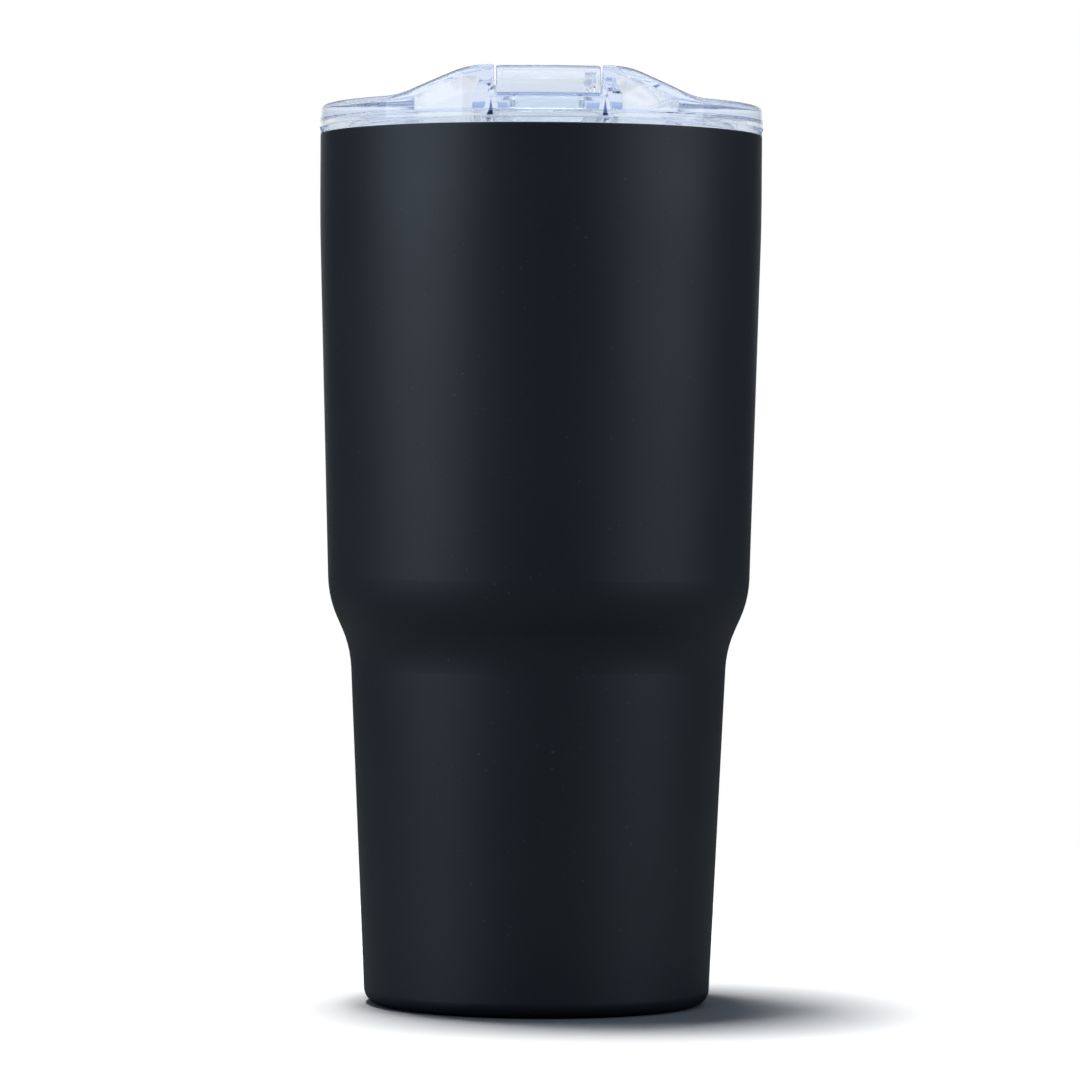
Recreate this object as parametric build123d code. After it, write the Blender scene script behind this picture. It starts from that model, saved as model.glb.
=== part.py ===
from build123d import *
import os

# Insulated travel mug: a double-walled vacuum steel cup with a stepped waist, closed by a clear push-on
# lid. A ridge crosses the lid from front to back, and a flip tab lies in the channel along the ridge. The
# tab turns on two moulded trunnions at the middle of the lid: shut, its soft plugs close the sip opening
# and the vent; open, it has swung half a turn and lies in the rear half of the same channel.
# Units are millimetres. The origin is the middle of the base on the table, +Z is up, and the drinking
# side faces -Y. Radii are measured from the mug's axis.

# Cup, outer surface
BASE_R = 34.0            # where the lower taper meets the table
WAIST_R = 37.2           # sharp corner of the waist, before rounding
WAIST_Z = 70.3
SHOULDER_R = 41.55       # sharp corner of the shoulder, before rounding
SHOULDER_Z = 80.0
RIM_R = 43.6             # straight band below the rim
BAND_Z = 154.5           # where the upper taper becomes the straight band
RIM_Z = 171.5
STEP_ROUND = 21.0        # both bends of the step
BAND_ROUND = 300.0       # the faint bend under the straight band
FOOT_ROUND = 3.0
RIM_ROUND = 0.4

# Cup, walls
SHEET = 0.5              # drawn stainless sheet
VACUUM_GAP = 2.2
LINER_OUTSIDE = SHEET + VACUUM_GAP
LINER_INSIDE = LINER_OUTSIDE + SHEET
LIP_ROUND = 1.2          # the liner's turned-out mouth
FLOOR_Z = 8.0            # underside of the liner's floor, at its edge
FLOOR_SHEET = 0.6
FLOOR_CORNER = 6.0
PUNT_RISE = 1.2          # the floor's raised middle
PUNT_R = 11.0
PUNT_FOOT_R = 21.0
PUNT_ROUND = 30.0
FLOOR_WELD_Z = 16.0      # seam between the liner's tube and its floor cup

# Base
WELD_R = 31.0            # seam between the outer shell and the base plate
RECESS_R = 28.6
RECESS_Z = 2.1           # underside of the base plate inside the recess
DIMPLE_R = 6.0
DIMPLE_Z = 3.7           # underside of the dimple's floor
DIMPLE_FLOOR_R = 3.0
DIMPLE_ROUND = 1.0
EVACUATION_R = 1.0
BEAD_R = 2.2
BEAD_FLAT_R = 1.7
BEAD_HEIGHT = 0.9
BEAD_ROUND = 0.6
BEAD_FIT = 0.02          # between the glass and the edge of its hole
COVER_GAP = 0.5
COVER_SHEET = 0.4
COVER_CHAMFER = 0.15
COVER_GROOVE_R = 22.0
COVER_GROOVE_DEPTH = 0.25

# Getter, in the vacuum under the liner's floor
GETTER_R = 6.4
GETTER_HEIGHT = 1.5
GETTER_FIT = 0.1
HOLDER_SHEET = 0.3
HOLDER_FLANGE_R = 8.6
HOLDER_WINDOW_R = 4.0

# Lid, turned shape
SEAT_GAP = 0.05          # between moving parts that rest on each other
FLANGE_R = 44.0
FLANGE_TOP_R = 43.8      # the lid's side leans in a little towards the top
FLANGE_TOP_Z = 177.1
FLANGE_CHAMFER_Z = 172.65
FLANGE_CHAMFER_ROUND = 0.5
LID_EDGE_ROUND = 1.2     # along the whole top edge, flange and ridge alike
PLATE_UNDER_Z = 174.4
SKIRT_OUTER_R = 39.8
SKIRT_INNER_R = 37.8
SKIRT_END_Z = 160.5
SKIRT_CHAMFER = 0.7
SKIRT_CORNER = 1.0       # between the skirt's inside and the plate
CORING_R = 40.9          # relief groove between the skirt and the flange's edge
CORING_TOP_Z = 174.0
CORING_ROUND = 0.5
GROOVE_R = 38.5
GROOVE_LOW_Z = 163.6
GROOVE_HIGH_Z = 167.2

# Gasket in the skirt's groove
GASKET_R = 39.7
GASKET_LIP_R = 40.35     # just clear of the liner
LIP_ROOT = 1.0           # height of a sealing lip where it leaves the ring
LIP_TIP = 0.4
LIP_CENTRES = (164.6, 166.2)

# Lid, ridge and channel
RIDGE_TOP_Z = 182.5
RIDGE_TOP_HALF = 15.1    # sharp top corner of the side slope, before rounding
RIDGE_FOOT_HALF = 28.6
RIDGE_ROUND = 18.0
RIDGE_FOOT_ROUND = 14.0
CHANNEL_HALF = 10.3
EDGE_ROUND = 0.5

# Lid, hollows under the two halves of the ridge
HOLLOW_TOP_Z = 180.5
HOLLOW_INNER_TOP = 11.9  # the channel's walls get thicker downward
HOLLOW_INNER_LOW = 13.5
HOLLOW_SHOULDER = 15.0
HOLLOW_TIP_HALF = 23.6   # the hollow's slope ends here
HOLLOW_TIP_Z = 177.0
HOLLOW_R = 36.6
HOLLOW_ROUND = 0.6

# Lid, front pocket for the tab's flap
POCKET_LOW_Z = 172.6
POCKET_LOW_HALF = 12.4
POCKET_HIGH_Z = 178.4
POCKET_HIGH_HALF = 11.0
POCKET_ARCH = 1.0
POCKET_R = 42.5          # behind the flap
SLOT_R = 41.7            # the pocket is deeper on both sides of the flap
NOTCH_R = 40.9           # room for the tab's front wall, above the flap
NOTCH_Z = 175.2

# Openings through the lid
SIP_Y = -32.5
SIP_LENGTH = 14.0
SIP_WIDTH = 7.5
VENT_Y = -14.0
VENT_R = 1.3
RECESS_MARGIN = 1.5      # the seats of the plugs' lips are this much wider than the openings
SEAT_Z = 175.8

# Flip tab
TAB_HALF = 10.0
TAB_END_R = 42.5         # the tab's front follows this circle
TAB_END_ROUND = 1.1
TAB_WALL = 1.1
TAB_PLATE = 1.2
FRONT_WALL = 1.4
FRONT_WALL_Z = 175.35    # lower edge of the tab's front wall, which carries the flap
REAR_WALL = 1.4
HINGE_Z = 179.8
EAR_R = 2.6              # half the tab's height, so that it turns over in the channel
EAR_HALF = 8.2           # inner faces of the hinge ears
TRUNNION_R = 1.6
TRUNNION_REACH = 11.3
SOCKET_R = 1.65
SOCKET_REACH = 11.45
FLAP_LOW_HALF = 9.4      # the flap widens upward
FLAP_HIGH_HALF = 10.0
FLAP_LOW_Z = 172.75
FLAP_INNER_R = 42.65

# Soft plugs, bonded under two cross blocks of the tab
BLOCK_Z = 177.3
SIP_BLOCK = 10.0         # depth of the block from front to back
VENT_BLOCK = 5.0
LIP_GAP = 0.3            # between a plug's lip and its seat, all round
SIP_PLUG_GAP = 0.3
SIP_PLUG_LOW_Z = 174.0
VENT_PLUG_R = 0.9
VENT_PLUG_LOW_Z = 174.9
PLUG_CHAMFER = 0.4

FAR = 60.0               # beyond every surface of the mug
PAST = 1.0               # how far a cutting shape runs past the surface it cuts


def lathe(*points):
    """Turn a closed outline about Z. A point is (radius, height) or (radius, height, corner rounding)."""
    corners = [(p[0], p[1]) for p in points]
    roundings = [p[2] if len(p) > 2 else 0 for p in points]
    outline = FilletPolyline(*corners, radius=roundings, close=True)
    return revolve(Plane.XZ * make_face(outline), Axis.Z)


def along_y(points, y_low, y_high):
    """Extrude a closed outline of (x, z) or (x, z, corner rounding) points from y_low to y_high."""
    corners = [(p[0], p[1]) for p in points]
    roundings = [p[2] if len(p) > 2 else 0 for p in points]
    face = make_face(FilletPolyline(*corners, radius=roundings, close=True))
    return extrude(Plane.XZ.offset(-y_high) * face, y_high - y_low)


def column(radius, z_low, z_high, x=0.0, y=0.0):
    """Round column about a vertical axis."""
    return Pos(x, y, (z_low + z_high) / 2) * Cylinder(radius, z_high - z_low)


def block(x_low, x_high, y_low, y_high, z_low, z_high):
    """Box between two corners."""
    size = Box(x_high - x_low, y_high - y_low, z_high - z_low)
    return Pos((x_low + x_high) / 2, (y_low + y_high) / 2, (z_low + z_high) / 2) * size


def cross_pin(radius, x_low, x_high):
    """Round bar along X on the hinge axis."""
    bar = Rot(0, 90, 0) * Cylinder(radius, x_high - x_low)
    return Pos((x_low + x_high) / 2, 0, HINGE_Z) * bar


def stadium(length, width, z_low, z_high, y):
    """Prism with rounded ends, long side along X."""
    outline = Pos(0, y, z_low) * SlotOverall(length, width)
    return extrude(outline, z_high - z_low)


def radius_at(edge):
    """Distance of an edge's middle from the mug's axis."""
    middle = edge @ 0.5
    return (middle.X ** 2 + middle.Y ** 2) ** 0.5


def cup_side(inset):
    """Outline points of the stepped side wall above the foot, moved inward by inset."""
    return [
        (WAIST_R - inset, WAIST_Z, STEP_ROUND),
        (SHOULDER_R - inset, SHOULDER_Z, STEP_ROUND),
        (RIM_R - inset, BAND_Z, BAND_ROUND),
    ]


def foot_radius(inset, z):
    """Radius of the lower taper at height z, moved inward by inset."""
    return BASE_R - inset + (WAIST_R - BASE_R) * z / WAIST_Z


def outer_shell():
    """Painted sheet-steel shell, turned in under the foot."""
    outside = lathe(
        (0, 0),
        (BASE_R, 0, FOOT_ROUND),
        *cup_side(0),
        (RIM_R, RIM_Z, RIM_ROUND),
        (0, RIM_Z),
    )
    inside = lathe(
        (0, SHEET),
        (foot_radius(SHEET, SHEET), SHEET, FOOT_ROUND - SHEET),
        *cup_side(SHEET),
        (RIM_R - SHEET, RIM_Z + PAST),
        (0, RIM_Z + PAST),
    )
    return outside - inside - column(WELD_R, -PAST, PAST)


def liner():
    """Steel liner with its mouth turned out to meet the outer shell."""
    outside = lathe(
        (0, FLOOR_Z + PUNT_RISE),
        (PUNT_R, FLOOR_Z + PUNT_RISE, PUNT_ROUND),
        (PUNT_FOOT_R, FLOOR_Z, PUNT_ROUND),
        (foot_radius(LINER_OUTSIDE, FLOOR_Z), FLOOR_Z, FLOOR_CORNER),
        *cup_side(LINER_OUTSIDE),
        (RIM_R - LINER_OUTSIDE, RIM_Z - SHEET, LIP_ROUND - SHEET),
        (RIM_R - SHEET, RIM_Z - SHEET),
        (RIM_R - SHEET, RIM_Z),
        (0, RIM_Z),
    )
    floor = FLOOR_Z + FLOOR_SHEET
    inside = lathe(
        (0, floor + PUNT_RISE),
        (PUNT_R, floor + PUNT_RISE, PUNT_ROUND),
        (PUNT_FOOT_R, floor, PUNT_ROUND),
        (foot_radius(LINER_INSIDE, floor), floor, FLOOR_CORNER - FLOOR_SHEET),
        *cup_side(LINER_INSIDE),
        (RIM_R - LINER_INSIDE, RIM_Z, LIP_ROUND),
        (FAR, RIM_Z),
        (FAR, RIM_Z + PAST),
        (0, RIM_Z + PAST),
    )
    return outside - inside


def inner_liner():
    """The liner's drawn tube and mouth, above the floor seam."""
    return liner() - column(FAR, -PAST, FLOOR_WELD_Z)


def liner_floor():
    """The pressed cup welded into the liner's lower end."""
    return liner() - column(FAR, FLOOR_WELD_Z, RIM_Z + PAST)


def base_plate():
    """Pressed disc that closes the outer shell, with a dimple round the evacuation hole."""
    upper_z = RECESS_Z + SHEET
    return lathe(
        (WELD_R, 0),
        (RECESS_R, 0, SHEET),
        (RECESS_R, RECESS_Z, SHEET),
        (DIMPLE_R, RECESS_Z, DIMPLE_ROUND),
        (DIMPLE_FLOOR_R, DIMPLE_Z, DIMPLE_ROUND),
        (EVACUATION_R, DIMPLE_Z),
        (EVACUATION_R, DIMPLE_Z + SHEET),
        (DIMPLE_FLOOR_R + SHEET / 2, DIMPLE_Z + SHEET, DIMPLE_ROUND),
        (DIMPLE_R + SHEET / 2, upper_z, DIMPLE_ROUND),
        (RECESS_R + SHEET, upper_z, 2 * SHEET),
        (RECESS_R + SHEET, SHEET),
        (WELD_R, SHEET),
    )


def vacuum_seal():
    """Bead of solder glass that plugs the evacuation hole."""
    plug_r = EVACUATION_R - BEAD_FIT
    return lathe(
        (0, DIMPLE_Z - BEAD_HEIGHT),
        (BEAD_FLAT_R, DIMPLE_Z - BEAD_HEIGHT, BEAD_ROUND),
        (BEAD_R, DIMPLE_Z),
        (plug_r, DIMPLE_Z),
        (plug_r, DIMPLE_Z + SHEET),
        (0, DIMPLE_Z + SHEET),
    )


def base_cover():
    """Thin disc glued into the recess over the dimple, with one pressed ring groove."""
    low_z = RECESS_Z - COVER_SHEET
    rim_r = RECESS_R - COVER_GAP
    disc = column(rim_r, low_z, RECESS_Z)
    disc = chamfer(disc.edges().group_by(Axis.Z)[0], COVER_CHAMFER)
    groove = Pos(0, 0, low_z) * Torus(COVER_GROOVE_R, COVER_GROOVE_DEPTH)
    return disc - groove


def getter_holder():
    """Pressed steel clip that holds the getter against the underside of the liner's floor."""
    top_z = FLOOR_Z + PUNT_RISE
    low_z = top_z - GETTER_HEIGHT - 2 * HOLDER_SHEET
    inner_r = GETTER_R + GETTER_FIT
    outer_r = inner_r + HOLDER_SHEET
    return lathe(
        (HOLDER_WINDOW_R, low_z),
        (outer_r, low_z),
        (outer_r, top_z - HOLDER_SHEET),
        (HOLDER_FLANGE_R, top_z - HOLDER_SHEET),
        (HOLDER_FLANGE_R, top_z),
        (inner_r, top_z),
        (inner_r, low_z + HOLDER_SHEET),
        (HOLDER_WINDOW_R, low_z + HOLDER_SHEET),
    )


def getter_pellet():
    """Disc of getter alloy, which keeps the vacuum."""
    low_z = FLOOR_Z + PUNT_RISE - GETTER_HEIGHT - HOLDER_SHEET
    return column(GETTER_R, low_z, low_z + GETTER_HEIGHT)


def lid_turned(top_z, edge_round=0.0):
    """Solid with the lid's leaning side, up to top_z, its top edge rounded if asked."""
    low_z = RIM_Z + SEAT_GAP
    lean = (FLANGE_R - FLANGE_TOP_R) / (FLANGE_TOP_Z - FLANGE_CHAMFER_Z)
    top_r = FLANGE_R - lean * (top_z - FLANGE_CHAMFER_Z)
    return lathe(
        (0, low_z),
        (RIM_R, low_z),
        (FLANGE_R, FLANGE_CHAMFER_Z, FLANGE_CHAMFER_ROUND),
        (top_r, top_z, edge_round),
        (0, top_z),
    )


def lid_outside():
    """Outer form of the lid: flange and ridge with one rounded top edge, parted by the tab's channel."""
    low_z = RIM_Z + SEAT_GAP
    outline = [
        (-FAR, low_z),
        (-FAR, FLANGE_TOP_Z),
        (-RIDGE_FOOT_HALF, FLANGE_TOP_Z, RIDGE_FOOT_ROUND),
        (-RIDGE_TOP_HALF, RIDGE_TOP_Z, RIDGE_ROUND),
        (RIDGE_TOP_HALF, RIDGE_TOP_Z, RIDGE_ROUND),
        (RIDGE_FOOT_HALF, FLANGE_TOP_Z, RIDGE_FOOT_ROUND),
        (FAR, FLANGE_TOP_Z),
        (FAR, low_z),
    ]
    body = lid_turned(RIDGE_TOP_Z) & along_y(outline, -FAR, FAR)
    rim_edges = [e for e in body.edges() if (e @ 0.5).Z > PLATE_UNDER_Z and radius_at(e) > SKIRT_OUTER_R]
    body = fillet(rim_edges, LID_EDGE_ROUND)
    body = body - block(-CHANNEL_HALF, CHANNEL_HALF, -FAR, FAR, FLANGE_TOP_Z, RIDGE_TOP_Z + PAST)
    top_edges = body.edges().filter_by(Axis.Y).group_by(Axis.Z)[-1]
    channel_edges = [e for e in top_edges if abs(e.center().X) < CHANNEL_HALF + SEAT_GAP]
    return fillet(channel_edges, EDGE_ROUND)


def lid_underside():
    """Everything the turned tool leaves open below: the space inside the skirt and the relief groove."""
    low_z = SKIRT_END_Z - PAST
    inside = lathe(
        (0, low_z),
        (SKIRT_INNER_R, low_z),
        (SKIRT_INNER_R, PLATE_UNDER_Z, SKIRT_CORNER),
        (0, PLATE_UNDER_Z),
    )
    coring = lathe(
        (SKIRT_OUTER_R, low_z),
        (SKIRT_OUTER_R, CORING_TOP_Z, CORING_ROUND),
        (CORING_R, CORING_TOP_Z, CORING_ROUND),
        (CORING_R, low_z),
    )
    return inside + coring


def lid_skirt():
    """Plug skirt that enters the mouth, with the gasket's groove."""
    return lathe(
        (SKIRT_INNER_R, PLATE_UNDER_Z - SKIRT_CORNER),
        (SKIRT_INNER_R, SKIRT_END_Z),
        (SKIRT_OUTER_R - SKIRT_CHAMFER, SKIRT_END_Z),
        (SKIRT_OUTER_R, SKIRT_END_Z + 2 * SKIRT_CHAMFER),
        (SKIRT_OUTER_R, GROOVE_LOW_Z),
        (GROOVE_R, GROOVE_LOW_Z),
        (GROOVE_R, GROOVE_HIGH_Z),
        (SKIRT_OUTER_R, GROOVE_HIGH_Z),
        (SKIRT_OUTER_R, PLATE_UNDER_Z - SKIRT_CORNER),
    )


def cheek_hollows():
    """Moulded hollows under the two halves of the ridge, open downward."""
    low_z = PLATE_UNDER_Z - PAST
    outline = [
        (HOLLOW_INNER_LOW, low_z),
        (HOLLOW_INNER_LOW, FLANGE_TOP_Z),
        (HOLLOW_INNER_TOP, HOLLOW_TOP_Z, HOLLOW_ROUND),
        (HOLLOW_SHOULDER, HOLLOW_TOP_Z, HOLLOW_ROUND),
        (HOLLOW_TIP_HALF, HOLLOW_TIP_Z, HOLLOW_ROUND),
        (HOLLOW_TIP_HALF, low_z),
    ]
    right = along_y(outline, -FAR, FAR) & column(HOLLOW_R, low_z, RIDGE_TOP_Z)
    return right + mirror(right, Plane.YZ)


def flap_pocket():
    """Arch-topped pocket in the lid's front: shallow behind the flap, deeper slots at its sides."""
    outline = [
        (-POCKET_LOW_HALF, POCKET_LOW_Z),
        (-POCKET_HIGH_HALF, POCKET_HIGH_Z, POCKET_ARCH),
        (POCKET_HIGH_HALF, POCKET_HIGH_Z, POCKET_ARCH),
        (POCKET_LOW_HALF, POCKET_LOW_Z),
    ]
    opening = along_y(outline, -FAR, 0)
    behind_flap = opening - column(POCKET_R, SKIRT_END_Z, RIDGE_TOP_Z)
    middle = block(-FLAP_LOW_HALF, FLAP_LOW_HALF, -FAR, 0, SKIRT_END_Z, RIDGE_TOP_Z)
    slots = opening - column(SLOT_R, SKIRT_END_Z, RIDGE_TOP_Z) - middle
    notch = block(-CHANNEL_HALF, CHANNEL_HALF, -FAR, 0, NOTCH_Z, FLANGE_TOP_Z + PAST)
    return behind_flap + slots + (notch - column(NOTCH_R, NOTCH_Z, FLANGE_TOP_Z + PAST))


def lid_openings():
    """Sip opening and vent, each with a sunk seat, and the two blind trunnion sockets."""
    low_z = PLATE_UNDER_Z - PAST
    high_z = FLANGE_TOP_Z + PAST
    sip = stadium(SIP_LENGTH, SIP_WIDTH, low_z, high_z, SIP_Y)
    sip_seat = stadium(SIP_LENGTH + 2 * RECESS_MARGIN, SIP_WIDTH + 2 * RECESS_MARGIN, SEAT_Z, high_z, SIP_Y)
    vent = column(VENT_R, low_z, high_z, y=VENT_Y)
    vent_seat = column(VENT_R + RECESS_MARGIN, SEAT_Z, high_z, y=VENT_Y)
    return sip + sip_seat + vent + vent_seat + cross_pin(SOCKET_R, -SOCKET_REACH, SOCKET_REACH)


def lid_shell():
    """Clear moulded lid."""
    body = (lid_outside() - lid_underside()) + lid_skirt()
    return body - cheek_hollows() - flap_pocket() - lid_openings()


def lid_gasket():
    """Silicone ring with two sealing lips, seated in the skirt's groove."""
    inner_r = GROOVE_R + SEAT_GAP
    outline = [(inner_r, GROOVE_LOW_Z + SEAT_GAP), (GASKET_R, GROOVE_LOW_Z + SEAT_GAP)]
    for z in LIP_CENTRES:
        outline.append((GASKET_R, z - LIP_ROOT / 2))
        outline.append((GASKET_LIP_R, z - LIP_TIP / 2, LIP_TIP / 4))
        outline.append((GASKET_LIP_R, z + LIP_TIP / 2, LIP_TIP / 4))
        outline.append((GASKET_R, z + LIP_ROOT / 2))
    outline.append((GASKET_R, GROOVE_HIGH_Z - SEAT_GAP))
    outline.append((inner_r, GROOVE_HIGH_Z - SEAT_GAP))
    return lathe(*outline)


def tab_cover():
    """Top plate, side walls, front wall and rear wall of the tab, with rounded top edges."""
    low_z = HINGE_Z - EAR_R
    top_z = HINGE_Z + EAR_R
    bar = block(-TAB_HALF, TAB_HALF, -FAR, 0, low_z, top_z) & column(TAB_END_R, low_z, top_z)
    front_edge = bar.edges().group_by(Axis.Z)[-1].sort_by(Axis.Y)[0]
    bar = fillet(front_edge, TAB_END_ROUND)
    side_edges = bar.edges().filter_by(Axis.Y).group_by(Axis.Z)[-1]
    bar = fillet(side_edges, EDGE_ROUND)
    wall = block(-TAB_HALF, TAB_HALF, -FAR, 0, FRONT_WALL_Z, low_z) & column(TAB_END_R, FRONT_WALL_Z, low_z)
    inner_half = TAB_HALF - TAB_WALL
    hollow = block(-inner_half, inner_half, -FAR, -REAR_WALL, FRONT_WALL_Z, top_z - TAB_PLATE)
    inner = column(TAB_END_R - FRONT_WALL, FRONT_WALL_Z, top_z)
    return bar + (wall - inner) - (hollow & inner)


def tab_flap():
    """Front flap of the tab, flush with the lid's edge."""
    outline = [
        (-FLAP_LOW_HALF, FLAP_LOW_Z),
        (-FLAP_HIGH_HALF, FLANGE_TOP_Z),
        (FLAP_HIGH_HALF, FLANGE_TOP_Z),
        (FLAP_LOW_HALF, FLAP_LOW_Z),
    ]
    front = along_y(outline, -FAR, 0)
    flap = (lid_turned(FLANGE_TOP_Z, LID_EDGE_ROUND) & front) - column(FLAP_INNER_R, FLAP_LOW_Z, FRONT_WALL_Z)
    return flap - column(TAB_END_R - FRONT_WALL, FRONT_WALL_Z, FLANGE_TOP_Z)


def tab_blocks():
    """Two blocks across the tab's hollow, which carry the plugs."""
    top_z = HINGE_Z + EAR_R - TAB_PLATE
    inner_half = TAB_HALF - TAB_WALL
    sip = block(-inner_half, inner_half, SIP_Y - SIP_BLOCK / 2, SIP_Y + SIP_BLOCK / 2, BLOCK_Z, top_z)
    vent = block(-inner_half, inner_half, VENT_Y - VENT_BLOCK / 2, VENT_Y + VENT_BLOCK / 2, BLOCK_Z, top_z)
    return sip + vent


def flip_tab():
    """Clear flip tab with its hinge ears and trunnions."""
    ears = cross_pin(EAR_R, -TAB_HALF, -EAR_HALF) + cross_pin(EAR_R, EAR_HALF, TAB_HALF)
    pins = cross_pin(TRUNNION_R, -TRUNNION_REACH, -EAR_HALF) + cross_pin(TRUNNION_R, EAR_HALF, TRUNNION_REACH)
    return tab_cover() + tab_flap() + tab_blocks() + ears + pins


def sip_plug():
    """Soft oval plug of the sip opening, with a lip that rests on the sunk seat."""
    lip_z = SEAT_Z + SEAT_GAP
    core_gap = 2 * SIP_PLUG_GAP
    core = stadium(SIP_LENGTH - core_gap, SIP_WIDTH - core_gap, SIP_PLUG_LOW_Z, lip_z, SIP_Y)
    core = chamfer(core.edges().group_by(Axis.Z)[0], PLUG_CHAMFER)
    margin = 2 * (RECESS_MARGIN - LIP_GAP)
    lip = stadium(SIP_LENGTH + margin, SIP_WIDTH + margin, lip_z, BLOCK_Z, SIP_Y)
    return core + lip


def vent_plug():
    """Soft round plug of the vent, with a lip that rests on the sunk seat."""
    lip_z = SEAT_Z + SEAT_GAP
    core = column(VENT_PLUG_R, VENT_PLUG_LOW_Z, lip_z, y=VENT_Y)
    core = chamfer(core.edges().group_by(Axis.Z)[0], PLUG_CHAMFER)
    return core + column(VENT_R + RECESS_MARGIN - LIP_GAP, lip_z, BLOCK_Z, y=VENT_Y)


PARTS = {
    "outer_shell": outer_shell,
    "inner_liner": inner_liner,
    "liner_floor": liner_floor,
    "base_plate": base_plate,
    "base_cover": base_cover,
    "vacuum_seal": vacuum_seal,
    "getter_holder": getter_holder,
    "getter_pellet": getter_pellet,
    "lid_gasket": lid_gasket,
    "lid_shell": lid_shell,
    "flip_tab": flip_tab,
    "sip_plug": sip_plug,
    "vent_plug": vent_plug,
}

os.makedirs("parts", exist_ok=True)
for name, make in PARTS.items():
    export_step(make(), f"parts/{name}.step")
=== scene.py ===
import math

import bpy
from mathutils import Matrix, Vector


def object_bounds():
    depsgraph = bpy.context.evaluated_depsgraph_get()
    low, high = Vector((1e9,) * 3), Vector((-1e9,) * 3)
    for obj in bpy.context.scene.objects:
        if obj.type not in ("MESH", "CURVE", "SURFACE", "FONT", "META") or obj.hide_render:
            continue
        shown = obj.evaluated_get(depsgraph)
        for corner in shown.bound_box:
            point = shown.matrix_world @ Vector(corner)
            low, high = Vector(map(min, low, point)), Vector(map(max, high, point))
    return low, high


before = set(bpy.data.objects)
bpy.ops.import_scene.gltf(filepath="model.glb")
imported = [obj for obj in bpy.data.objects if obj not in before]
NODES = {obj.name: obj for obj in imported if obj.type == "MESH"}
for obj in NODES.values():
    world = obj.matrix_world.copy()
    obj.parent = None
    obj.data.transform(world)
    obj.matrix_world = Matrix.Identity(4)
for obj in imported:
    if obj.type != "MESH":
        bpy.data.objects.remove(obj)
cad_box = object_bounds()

# Looks of the insulated travel mug: one procedural material for each material of the record, a pale floor,
# soft lamps, and a camera in front of the drinking side. Every CAD piece is shown as it is, and none is
# replaced. Lengths are in metres, and noise scales are in cells per metre.

LOW, HIGH = cad_box
HEIGHT = HIGH.z - LOW.z

# Camera: a long lens in front of the drinking side, a little above the middle of the mug.
CAMERA_DISTANCE = 1.068
CAMERA_HEIGHT = 0.1068
CAMERA_SIDE = 0.0002
CAMERA_LENS = 180.0          # millimetres
CAMERA_SENSOR = 36.0         # millimetres
CAMERA_NEAR = 0.05
CAMERA_FAR = 50.0
CAMERA_PITCH = math.radians(0.817)
CAMERA_ROLL = math.radians(0.33)
CAMERA_TURN = math.radians(-1.8)

# Floor: how bright the camera and the mug see it, and where it fades to white.
FLOOR_SIZE = 30.0
FLOOR_PALE = 0.8
FLOOR_DULL = 0.09
FLOOR_NEAR = 0.15
FLOOR_FAR = 0.5

# World: what the camera, the clear plastic and the reflections see.
WHITE = (1.0, 1.0, 1.0)
HORIZON = (0.84, 0.88, 0.93)
SKY = (0.66, 0.74, 0.93)
SKY_RISE = (0.25, 0.55)      # how steep a ray is, up or down, where the horizon becomes the sky
DIM = (0.65, 0.80, 1.0)
DIM_STRENGTH = 0.12
BACKDROP_STRENGTH = 1.25
BACKDROP_EDGE = (0.90, 0.98) # how near to +Y a ray runs where the backdrop begins

# Lamps: azimuth in degrees from the camera's side, positive to its right, and power in watts.
BLUE_LIGHT = (0.72, 0.85, 1.0)
COOL_LIGHT = (0.9, 0.95, 1.0)
LAMPS = {
    "key": {
        "azimuth": -65, "distance": 1.0, "centre_z": 0.50,
        "width": 0.90, "height": 0.85, "power": 6.2, "colour": BLUE_LIGHT,
    },
    "fill": {
        "azimuth": 65, "distance": 1.0, "centre_z": 0.45,
        "width": 0.90, "height": 0.80, "power": 4.1, "colour": BLUE_LIGHT,
    },
    "overhead": {
        "azimuth": 180, "distance": 0.25, "centre_z": 1.2,
        "width": 0.8, "height": 0.8, "power": 2.5, "colour": COOL_LIGHT,
    },
    "inside_lamp": {
        "azimuth": 0, "distance": 0.10, "centre_z": 1.0,
        "width": 0.5, "height": 0.5, "power": 9.0, "colour": COOL_LIGHT,
    },
    "floor_lamp": {
        "azimuth": -134, "distance": 0.122, "centre_z": 1.2,
        "width": 0.26, "height": 0.26, "power": 22.0, "colour": WHITE,
    },
}

# Clear plastic needs many bounces, or its inner reflections go dark.
LIGHT_BOUNCES = 24

# Most values of a noise lie in this range.
NOISE_MIDDLE = (0.3, 0.7)

# Powder coat
COAT_IOR = 1.5
COAT_DARK = (0.013, 0.017, 0.023)
COAT_LIGHT = (0.016, 0.020, 0.026)
COAT_CLOUDS = 30
COAT_SPECK = (0.09, 0.10, 0.12)
COAT_SPECKS = 1500
COAT_SPECK_RANGE = (0.74, 0.80)  # noise above this range is a speck
COAT_SPECK_STRENGTH = 0.5
COAT_ROUGHNESS = (0.44, 0.50)
COAT_GRAIN = 2200
COAT_BUMP = 0.25
COAT_BUMP_DEPTH = 0.00005
FOOT_WEAR_Z = 0.004          # the coat is rubbed smoother below this height
FOOT_WEAR = 0.06

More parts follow.
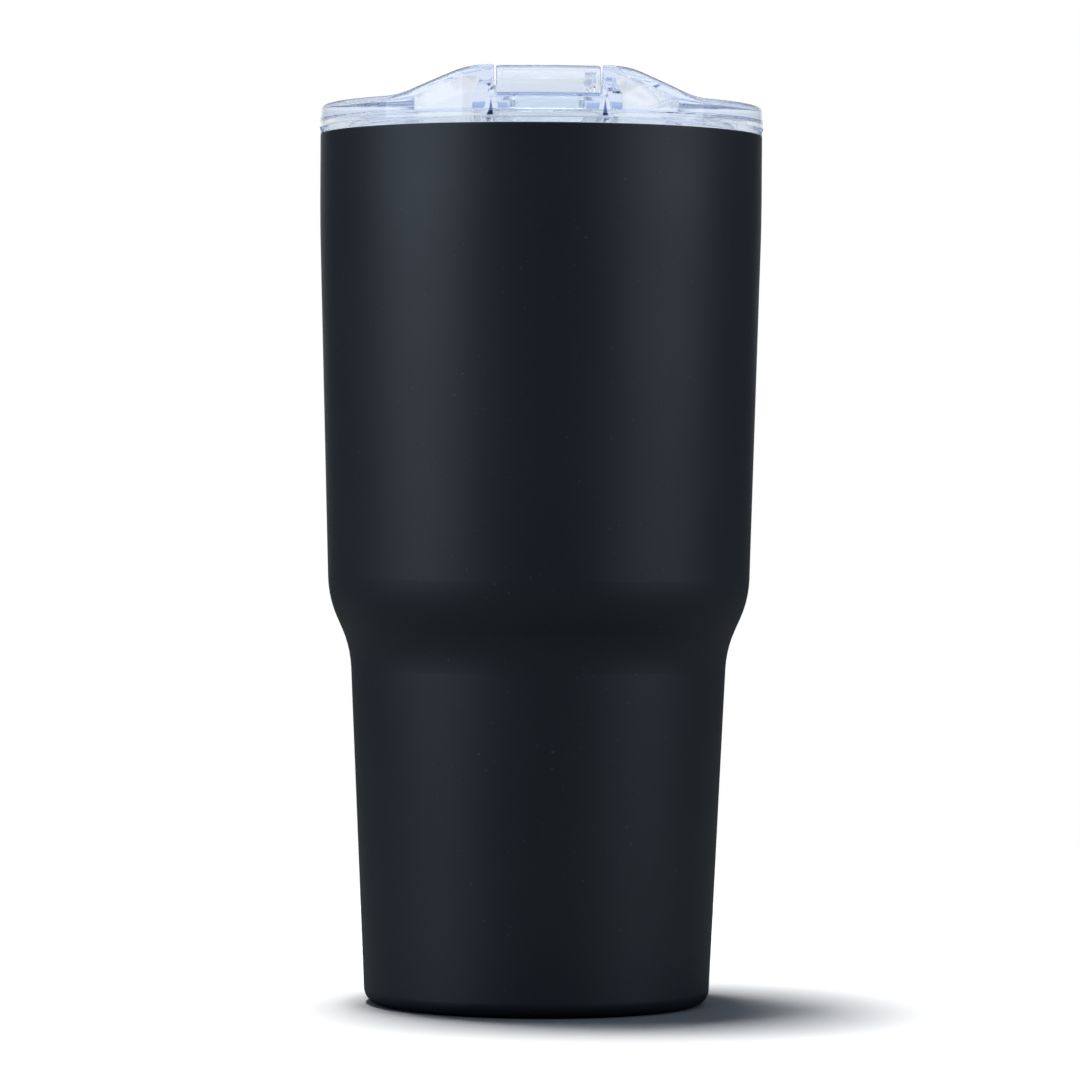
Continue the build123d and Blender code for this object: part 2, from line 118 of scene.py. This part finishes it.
# Stainless steel of the liner and the base cover. A painted glow brightens the liner towards its mouth, in
# place of light passed from wall to wall.
STEEL_DARK = (0.70, 0.69, 0.68)
STEEL_LIGHT = (0.80, 0.80, 0.79)
STEEL_LINES = 2500
STEEL_PATCHES = 45
STEEL_ROUGHNESS = (0.20, 0.34)
STEEL_BUMP = 0.15
STEEL_BUMP_DEPTH = 0.00003
MOUTH_PAINTED_LIGHT = (0.70, 0.78, 0.92)
MOUTH_PAINTED_LIGHT_Z = (0.08, 0.17)
MOUTH_PAINTED_LIGHT_STRENGTH = 0.28
COVER_RINGS = 9000           # radians per metre
COVER_PATCHES = 90
COVER_ROUGHNESS = (0.22, 0.36)
COVER_BUMP = 0.3

# Silicone: how clear it is, and a faint painted glow in place of light scattered inside it
SILICONE_CLEARNESS = 0.8
SILICONE_PAINTED_LIGHT = (0.86, 0.90, 0.96)
SILICONE_PAINTED_LIGHT_STRENGTH = 0.12

# Clear plastic: tint at each surface, colour and density of its body, wear and flow waves.
PLASTIC_IOR = 1.5
PLASTIC_TINT = (0.955, 0.968, 0.983)
PLASTIC_TINT_CLEAN = (0.972, 0.982, 0.992)
PLASTIC_BODY = (0.6, 0.74, 1.0)
PLASTIC_DENSITY = 8.0
PLASTIC_SHADOW = (0.90, 0.93, 0.97)
PLASTIC_WEAR = 260
PLASTIC_WEAR_RANGE = (0.4, 0.75)
PLASTIC_ROUGHNESS = (0.015, 0.06)
PLASTIC_FLOW = 70
PLASTIC_BUMP = 0.05
PLASTIC_BUMP_DEPTH = 0.0005

# Painted shade: the narrow slots beside the flap are painted dark blue. They are centred on SLOT_X and
# widen downward.
SLOT_PAINTED_SHADE = (0.02, 0.05, 0.18)
SLOT_X = 0.0109
SLOT_HALF = 0.0006
SLOT_LOW_Z = 0.1730
SLOT_HIGH_Z = 0.1770
SLOT_R = 0.0420

# Painted shade: a mid blue line along the upper edge of the tab's flap.
FLAP_EDGE_PAINTED_SHADE = (0.30, 0.40, 0.70)
FLAP_EDGE_Z = 0.17655
FLAP_TOP_Z = 0.1772
FLAP_HALF = 0.0099
FLAP_R = 0.0424

# Width of the soft border of both painted shades
PAINTED_SHADE_BORDER = 0.0002


def make_camera():
    """Camera on the -Y side, looking along +Y and slightly down, rolled and turned a little."""
    data = bpy.data.cameras.new("camera")
    data.lens = CAMERA_LENS
    data.sensor_width = CAMERA_SENSOR
    data.clip_start = CAMERA_NEAR
    data.clip_end = CAMERA_FAR
    camera = bpy.data.objects.new("camera", data)
    bpy.context.scene.collection.objects.link(camera)
    look = Matrix.Rotation(math.pi / 2 - CAMERA_PITCH, 4, "X")
    roll = Matrix.Rotation(CAMERA_ROLL, 4, "Z")
    place = Matrix.Translation((CAMERA_SIDE, -CAMERA_DISTANCE, CAMERA_HEIGHT))
    turn = Matrix.Rotation(CAMERA_TURN, 4, "Z")
    camera.matrix_world = turn @ place @ look @ roll
    bpy.context.scene.camera = camera


# Small helpers for nodes. Where one takes operands, each is a socket or a plain value.


def connect(links, sources, targets):
    """Link each source that is a socket to its target, and write the others as values."""
    for source, target in zip(sources, targets):
        if isinstance(source, bpy.types.NodeSocket):
            links.new(source, target)
        else:
            target.default_value = source


def maths(nodes, links, operation, first, second=0.0):
    """One arithmetic step."""
    node = nodes.new("ShaderNodeMath")
    node.operation = operation
    connect(links, (first, second), node.inputs)
    return node.outputs[0]


def vector_maths(nodes, links, operation, first, second=(0, 0, 0)):
    """One vector calculation; returns its node."""
    node = nodes.new("ShaderNodeVectorMath")
    node.operation = operation
    connect(links, (first, second), node.inputs)
    return node


def ramp(nodes, links, source, span, low, high):
    """Map a value that runs over span to one that runs from low to high, and hold it there outside."""
    node = nodes.new("ShaderNodeMapRange")
    connect(links, (source, *span, low, high), node.inputs)
    return node.outputs["Result"]


def object_parts(nodes, links):
    """X, Y and Z of a point."""
    where = nodes.new("ShaderNodeTexCoord")
    parts = nodes.new("ShaderNodeSeparateXYZ")
    links.new(where.outputs["Object"], parts.inputs[0])
    return parts.outputs["X"], parts.outputs["Y"], parts.outputs["Z"]


def radius(nodes, links):
    """Distance of a point from the mug's axis."""
    x, y, _ = object_parts(nodes, links)
    squares = [maths(nodes, links, "POWER", part, 2.0) for part in (x, y)]
    return maths(nodes, links, "SQRT", maths(nodes, links, "ADD", *squares))


def object_noise(nodes, links, scale, detail):
    """Noise in the object's own space."""
    where = nodes.new("ShaderNodeTexCoord")
    noise = nodes.new("ShaderNodeTexNoise")
    noise.inputs["Scale"].default_value = scale
    noise.inputs["Detail"].default_value = detail
    links.new(where.outputs["Object"], noise.inputs["Vector"])
    return noise.outputs["Fac"]


def mix_colours(nodes, links, share, first, second):
    """Colour between two, by a grey value."""
    node = nodes.new("ShaderNodeMix")
    node.data_type = "RGBA"
    operands = [c if isinstance(c, bpy.types.NodeSocket) else (*c, 1) for c in (first, second)]
    connect(links, (share, *operands), (node.inputs["Factor"], node.inputs["A"], node.inputs["B"]))
    return node.outputs["Result"]


def mix_shaders(nodes, links, share, first, second):
    """Shader node between two, by a grey value."""
    mix = nodes.new("ShaderNodeMixShader")
    connect(links, (share, first.outputs[0], second.outputs[0]), mix.inputs)
    return mix


def light_path(nodes, links, *kinds):
    """Value that is 1 for the named kinds of ray, such as "Camera", and 0 for the rest."""
    path = nodes.new("ShaderNodeLightPath")
    value = path.outputs[f"Is {kinds[0]} Ray"]
    for kind in kinds[1:]:
        value = maths(nodes, links, "MAXIMUM", value, path.outputs[f"Is {kind} Ray"])
    return value


def bump(nodes, links, height, shader, strength, depth):
    """Bump from a height value into a shader's normal."""
    node = nodes.new("ShaderNodeBump")
    node.inputs["Strength"].default_value = strength
    node.inputs["Distance"].default_value = depth
    links.new(height, node.inputs["Height"])
    links.new(node.outputs["Normal"], shader.inputs["Normal"])


def new_material(name):
    """Material with an empty node tree."""
    material = bpy.data.materials.new(name)
    material.use_nodes = True
    material.node_tree.nodes.clear()
    return material, material.node_tree.nodes, material.node_tree.links


def principled(nodes, links, **values):
    """Principled shader and its output node, with the shader's inputs set by name."""
    shader = nodes.new("ShaderNodeBsdfPrincipled")
    output = nodes.new("ShaderNodeOutputMaterial")
    links.new(shader.outputs["BSDF"], output.inputs["Surface"])
    for name, value in values.items():
        shader.inputs[name.replace("_", " ")].default_value = value
    return shader, output


def grained(name, scale, detail, colours, roughness, strength, depth, **values):
    """Material whose colour, roughness and bump follow one noise."""
    material, nodes, links = new_material(name)
    shader, _ = principled(nodes, links, **values)
    noise = object_noise(nodes, links, scale, detail)
    links.new(mix_colours(nodes, links, noise, *colours), shader.inputs["Base Color"])
    links.new(ramp(nodes, links, noise, NOISE_MIDDLE, *roughness), shader.inputs["Roughness"])
    bump(nodes, links, noise, shader, strength, depth)
    return material


# Materials, one for each material of the record


def powder_coat():
    """Satin black powder coat: slight blue cast, fine orange-peel, sparse bright specks, rubbed foot."""
    material, nodes, links = new_material("powder_coat")
    shader, _ = principled(nodes, links, IOR=COAT_IOR)
    clouds = object_noise(nodes, links, COAT_CLOUDS, detail=2)
    black = mix_colours(nodes, links, clouds, COAT_DARK, COAT_LIGHT)
    specks = object_noise(nodes, links, COAT_SPECKS, detail=1)
    rare = ramp(nodes, links, specks, COAT_SPECK_RANGE, 0, 1)
    faint = maths(nodes, links, "MULTIPLY", rare, COAT_SPECK_STRENGTH)
    links.new(mix_colours(nodes, links, faint, black, COAT_SPECK), shader.inputs["Base Color"])
    _, _, z = object_parts(nodes, links)
    rubbed = ramp(nodes, links, z, (0.0, FOOT_WEAR_Z), FOOT_WEAR, 0)
    satin = ramp(nodes, links, clouds, NOISE_MIDDLE, *COAT_ROUGHNESS)
    links.new(maths(nodes, links, "SUBTRACT", satin, rubbed), shader.inputs["Roughness"])
    grain = object_noise(nodes, links, COAT_GRAIN, detail=3)
    bump(nodes, links, grain, shader, COAT_BUMP, COAT_BUMP_DEPTH)
    return material


def liner_steel():
    """Bare stainless steel: fine lines round the axis from polishing, a few dull patches, and painted light
    that brightens it towards the mouth.
    """
    material, nodes, links = new_material("liner_steel")
    shader, _ = principled(nodes, links, Metallic=1.0)
    _, _, z = object_parts(nodes, links)
    noise = nodes.new("ShaderNodeTexNoise")
    noise.noise_dimensions = "1D"
    noise.inputs["Scale"].default_value = STEEL_LINES
    noise.inputs["Detail"].default_value = 4
    links.new(maths(nodes, links, "ADD", z, radius(nodes, links)), noise.inputs["W"])
    lines = noise.outputs["Fac"]
    patches = object_noise(nodes, links, STEEL_PATCHES, detail=3)
    links.new(mix_colours(nodes, links, patches, STEEL_DARK, STEEL_LIGHT), shader.inputs["Base Color"])
    # Painted light: the liner glows more towards its mouth, standing in for light passed from wall to wall.
    shader.inputs["Emission Color"].default_value = (*MOUTH_PAINTED_LIGHT, 1)
    painted_light = ramp(nodes, links, z, MOUTH_PAINTED_LIGHT_Z, 0, MOUTH_PAINTED_LIGHT_STRENGTH)
    links.new(painted_light, shader.inputs["Emission Strength"])
    links.new(ramp(nodes, links, lines, NOISE_MIDDLE, *STEEL_ROUGHNESS), shader.inputs["Roughness"])
    bump(nodes, links, lines, shader, STEEL_BUMP, STEEL_BUMP_DEPTH)
    return material


def cover_steel():
    """Stainless disc with fine rings turned into its face."""
    material, nodes, links = new_material("cover_steel")
    shader, _ = principled(nodes, links, Metallic=1.0)
    turns = maths(nodes, links, "MULTIPLY", radius(nodes, links), COVER_RINGS)
    rings = maths(nodes, links, "SINE", turns)
    patches = object_noise(nodes, links, COVER_PATCHES, detail=3)
    links.new(mix_colours(nodes, links, patches, STEEL_DARK, STEEL_LIGHT), shader.inputs["Base Color"])
    links.new(ramp(nodes, links, rings, (-1, 1), *COVER_ROUGHNESS), shader.inputs["Roughness"])
    bump(nodes, links, rings, shader, COVER_BUMP, STEEL_BUMP_DEPTH)
    return material


def clip_steel():
    """Spring steel of the getter's clip, slightly tinted by the furnace."""
    return grained(
        "clip_steel", scale=160, detail=3, colours=((0.45, 0.42, 0.36), (0.62, 0.62, 0.62)),
        roughness=(0.28, 0.42), strength=0.1, depth=0.00003, Metallic=1.0,
    )


def getter_alloy():
    """Pressed grey powder of the getter pellet."""
    return grained(
        "getter_alloy", scale=3500, detail=3, colours=((0.10, 0.10, 0.105), (0.24, 0.24, 0.25)),
        roughness=(0.75, 0.95), strength=0.5, depth=0.0001, Metallic=0.3,
    )


def seal_glass():
    """Solder glass of the evacuation seal: dark grey-green, glossy, slightly wavy."""
    return grained(
        "seal_glass", scale=900, detail=2, colours=((0.06, 0.08, 0.08), (0.12, 0.15, 0.15)),
        roughness=(0.06, 0.16), strength=0.3, depth=0.0001, IOR=1.6,
    )


def silicone():
    """Milky translucent silicone with a faint moulding bloom and a faint painted glow."""
    return grained(
        "silicone", scale=400, detail=3, colours=((0.86, 0.89, 0.92), (0.95, 0.96, 0.97)),
        roughness=(0.38, 0.52), strength=0.1, depth=0.00005, IOR=1.41,
        Transmission_Weight=SILICONE_CLEARNESS,
        # Painted light: the silicone glows faintly, in place of lamp light scattered inside it.
        Emission_Color=(*SILICONE_PAINTED_LIGHT, 1), Emission_Strength=SILICONE_PAINTED_LIGHT_STRENGTH,
    )


def slot_painted_shade(nodes, links):
    """1 inside the two narrow slots beside the flap, where dark blue shade is painted, 0 elsewhere."""
    x, _, z = object_parts(nodes, links)
    reach = ramp(nodes, links, z, (SLOT_LOW_Z, SLOT_HIGH_Z), SLOT_HALF, 0)
    across = maths(nodes, links, "ABSOLUTE", x)
    offset = maths(nodes, links, "ABSOLUTE", maths(nodes, links, "SUBTRACT", across, SLOT_X))
    depth = maths(nodes, links, "SUBTRACT", reach, offset)
    inside = ramp(nodes, links, depth, (0.0, PAINTED_SHADE_BORDER), 0, 1)
    behind = ramp(nodes, links, radius(nodes, links), (SLOT_R, SLOT_R + PAINTED_SHADE_BORDER), 1, 0)
    above = ramp(nodes, links, z, (SLOT_LOW_Z, SLOT_LOW_Z + PAINTED_SHADE_BORDER), 0, 1)
    return maths(nodes, links, "MULTIPLY", maths(nodes, links, "MULTIPLY", inside, behind), above)


def flap_edge_painted_shade(nodes, links):
    """1 along the upper edge of the tab's flap, where a mid blue line of shade is painted, 0 elsewhere."""
    x, _, z = object_parts(nodes, links)
    above = ramp(nodes, links, z, (FLAP_EDGE_Z - PAINTED_SHADE_BORDER, FLAP_EDGE_Z), 0, 1)
    below = ramp(nodes, links, z, (FLAP_TOP_Z, FLAP_TOP_Z + PAINTED_SHADE_BORDER), 1, 0)
    beside = maths(nodes, links, "ABSOLUTE", x)
    across = ramp(nodes, links, beside, (FLAP_HALF - PAINTED_SHADE_BORDER, FLAP_HALF), 1, 0)
    front = ramp(nodes, links, radius(nodes, links), (FLAP_R, FLAP_R + PAINTED_SHADE_BORDER), 0, 1)
    band = maths(nodes, links, "MULTIPLY", above, below)
    return maths(nodes, links, "MULTIPLY", band, maths(nodes, links, "MULTIPLY", across, front))


def clear_plastic():
    """Clear copolyester with a pale blue cast: almost smooth, with faint flow waves and fine wear, and
    painted shade in the slots and along the flap's upper edge.
    """
    material, nodes, links = new_material("clear_plastic")
    shader, output = principled(nodes, links, IOR=PLASTIC_IOR, Transmission_Weight=1.0)
    wear = object_noise(nodes, links, PLASTIC_WEAR, detail=4)
    rough = ramp(nodes, links, wear, PLASTIC_WEAR_RANGE, *PLASTIC_ROUGHNESS)
    links.new(rough, shader.inputs["Roughness"])
    clean = mix_colours(nodes, links, wear, PLASTIC_TINT, PLASTIC_TINT_CLEAN)
    # Painted shade: a mid blue line along the upper edge of the flap.
    edge_shaded = mix_colours(nodes, links, flap_edge_painted_shade(nodes, links), clean, FLAP_EDGE_PAINTED_SHADE)
    # Painted shade: dark blue inside the narrow slots beside the flap.
    shaded = mix_colours(nodes, links, slot_painted_shade(nodes, links), edge_shaded, SLOT_PAINTED_SHADE)
    links.new(shaded, shader.inputs["Base Color"])
    flow = object_noise(nodes, links, PLASTIC_FLOW, detail=1)
    bump(nodes, links, flow, shader, PLASTIC_BUMP, PLASTIC_BUMP_DEPTH)
    lets_through = nodes.new("ShaderNodeBsdfTransparent")
    lets_through.inputs["Color"].default_value = (*PLASTIC_SHADOW, 1)
    both = mix_shaders(nodes, links, light_path(nodes, links, "Shadow"), shader, lets_through)
    links.new(both.outputs[0], output.inputs["Surface"])
    volume = nodes.new("ShaderNodeVolumeAbsorption")
    volume.inputs["Color"].default_value = (*PLASTIC_BODY, 1)
    volume.inputs["Density"].default_value = PLASTIC_DENSITY
    links.new(volume.outputs["Volume"], output.inputs["Volume"])
    return material


def turned_normals():
    """Modifier nodes that lay a turned piece's normals in the planes through its axis.

    A turned face starts and ends on one seam line, where the loaded normals lean sideways and would
    show as a step in the shading. No vertex moves, and the CAD mesh itself stays as it was loaded.
    """
    group = bpy.data.node_groups.new("turned_normals", "GeometryNodeTree")
    for direction in ("INPUT", "OUTPUT"):
        group.interface.new_socket("Geometry", in_out=direction, socket_type="NodeSocketGeometry")
    nodes, links = group.nodes, group.links
    place = nodes.new("GeometryNodeInputPosition").outputs[0]
    normal = nodes.new("GeometryNodeInputNormal").outputs["Normal"]
    flat = vector_maths(nodes, links, "MULTIPLY", place, (1, 1, 0)).outputs[0]
    outward = vector_maths(nodes, links, "NORMALIZE", flat).outputs[0]
    lean = vector_maths(nodes, links, "DOT_PRODUCT", normal, outward).outputs["Value"]
    side = nodes.new("ShaderNodeVectorMath")
    side.operation = "SCALE"
    connect(links, (outward, lean), (side.inputs[0], side.inputs["Scale"]))
    rise = vector_maths(nodes, links, "MULTIPLY", normal, (0, 0, 1)).outputs[0]
    total = vector_maths(nodes, links, "ADD", side.outputs[0], rise).outputs[0]
    healed = vector_maths(nodes, links, "NORMALIZE", total).outputs[0]
    setter = nodes.new("GeometryNodeSetMeshNormal")
    setter.mode = "FREE"
    setter.domain = "CORNER"
    links.new(nodes.new("NodeGroupInput").outputs[0], setter.inputs["Mesh"])
    links.new(healed, setter.inputs["Custom Normal"])
    links.new(setter.outputs[0], nodes.new("NodeGroupOutput").inputs[0])
    return group


# Studio


def diffuse(nodes, grey):
    """Plain matt shader of one grey."""
    node = nodes.new("ShaderNodeBsdfDiffuse")
    node.inputs["Color"].default_value = (grey, grey, grey, 1)
    return node


def make_floor():
    """Pale floor: the camera sees it bright, and plain white away from the mug; the mug sees it dimmer."""
    mesh = bpy.data.meshes.new("floor")
    size = FLOOR_SIZE
    corners = [(-size, -size, 0), (size, -size, 0), (size, size, 0), (-size, size, 0)]
    mesh.from_pydata(corners, [], [(0, 1, 2, 3)])
    piece = bpy.data.objects.new("floor", mesh)
    bpy.context.scene.collection.objects.link(piece)
    material, nodes, links = new_material("floor")
    output = nodes.new("ShaderNodeOutputMaterial")
    where = nodes.new("ShaderNodeTexCoord")
    reach = vector_maths(nodes, links, "LENGTH", where.outputs["Object"]).outputs["Value"]
    away = ramp(nodes, links, reach, (FLOOR_NEAR, FLOOR_FAR), 0, 1)
    far = nodes.new("ShaderNodeEmission")
    seen = mix_shaders(nodes, links, away, diffuse(nodes, FLOOR_PALE), far)
    looked_at = light_path(nodes, links, "Camera", "Transmission")
    both = mix_shaders(nodes, links, looked_at, diffuse(nodes, FLOOR_DULL), seen)
    links.new(both.outputs[0], output.inputs["Surface"])
    mesh.materials.append(material)
    return piece


def softbox(name, azimuth, distance, centre_z, width, height, power, colour):
    """Soft rectangular lamp that faces the middle of the mug and isn't seen through clear plastic."""
    data = bpy.data.lights.new(name, "AREA")
    data.shape = "RECTANGLE"
    data.size = width
    data.size_y = height
    data.energy = power
    data.color = colour
    light = bpy.data.objects.new(name, data)
    bpy.context.scene.collection.objects.link(light)
    angle = math.radians(azimuth)
    light.location = (distance * math.sin(angle), -distance * math.cos(angle), centre_z)
    aim = Vector((0, 0, HEIGHT / 2)) - light.location
    light.rotation_euler = aim.to_track_quat("-Z", "Y").to_euler()
    light.visible_transmission = False
    return light


def light_only(lights, name, pieces):
    """Limit some lamps to these pieces; every piece still casts their shadows."""
    group = bpy.data.collections.new(name)
    for piece in pieces:
        group.objects.link(piece)
    for light in lights:
        light.light_linking.receiver_collection = group


def background(nodes, colour, strength=1.0):
    """Even light from all round."""
    node = nodes.new("ShaderNodeBackground")
    node.inputs["Color"].default_value = (*colour, 1)
    node.inputs["Strength"].default_value = strength
    return node


def make_world():
    """White for the camera, horizon and sky through plastic, and dim with a backdrop for reflections."""
    world = bpy.data.worlds.new("world")
    bpy.context.scene.world = world
    world.use_nodes = True
    nodes = world.node_tree.nodes
    links = world.node_tree.links
    nodes.clear()
    output = nodes.new("ShaderNodeOutputWorld")
    where = nodes.new("ShaderNodeTexCoord")
    parts = nodes.new("ShaderNodeSeparateXYZ")
    links.new(where.outputs["Generated"], parts.inputs[0])
    steep = maths(nodes, links, "ABSOLUTE", parts.outputs["Z"])
    high = ramp(nodes, links, steep, SKY_RISE, 0, 1)
    through = mix_shaders(nodes, links, high, background(nodes, HORIZON), background(nodes, SKY))
    behind = ramp(nodes, links, parts.outputs["Y"], BACKDROP_EDGE, 0, 1)
    dim = background(nodes, DIM, DIM_STRENGTH)
    backdrop = background(nodes, WHITE, BACKDROP_STRENGTH)
    reflected = mix_shaders(nodes, links, behind, dim, backdrop)
    unseen = mix_shaders(nodes, links, light_path(nodes, links, "Transmission"), reflected, through)
    both = mix_shaders(nodes, links, light_path(nodes, links, "Camera"), unseen, background(nodes, WHITE))
    links.new(both.outputs[0], output.inputs["Surface"])


# Each material of the record, by name. A CAD node's slot holds the material of that name when it is loaded.
FINISHES = {
    "powder_coat": powder_coat,
    "liner_steel": liner_steel,
    "cover_steel": cover_steel,
    "clip_steel": clip_steel,
    "getter_alloy": getter_alloy,
    "seal_glass": seal_glass,
    "silicone": silicone,
    "clear_plastic": clear_plastic,
}
TURNED_PIECES = (
    "outer_shell", "inner_liner", "liner_floor", "base_plate", "base_cover",
    "vacuum_seal", "getter_holder", "getter_pellet", "lid_gasket",
)
INNER_PIECES = ("inner_liner", "liner_floor", "lid_gasket", "sip_plug", "vent_plug")

finishes = {name: make() for name, make in FINISHES.items()}
for node in NODES.values():
    for slot in node.material_slots:
        slot.material = finishes[slot.material.name]

turned = turned_normals()
for name in TURNED_PIECES:
    NODES[name].modifiers.new("turned_normals", "NODES").node_group = turned

floor = make_floor()
make_world()
lamps = {name: softbox(name, **values) for name, values in LAMPS.items()}
light_only([lamps["key"], lamps["fill"], lamps["overhead"]], "mug_lamps", NODES.values())
light_only([lamps["inside_lamp"]], "inside_lamps", [NODES[name] for name in INNER_PIECES])
light_only([lamps["floor_lamp"]], "floor_lamps", [floor])
make_camera()

scene = bpy.context.scene
scene.view_settings.view_transform = "Standard"
scene.cycles.max_bounces = LIGHT_BOUNCES
scene.cycles.transmission_bounces = LIGHT_BOUNCES
scene.cycles.glossy_bounces = LIGHT_BOUNCES
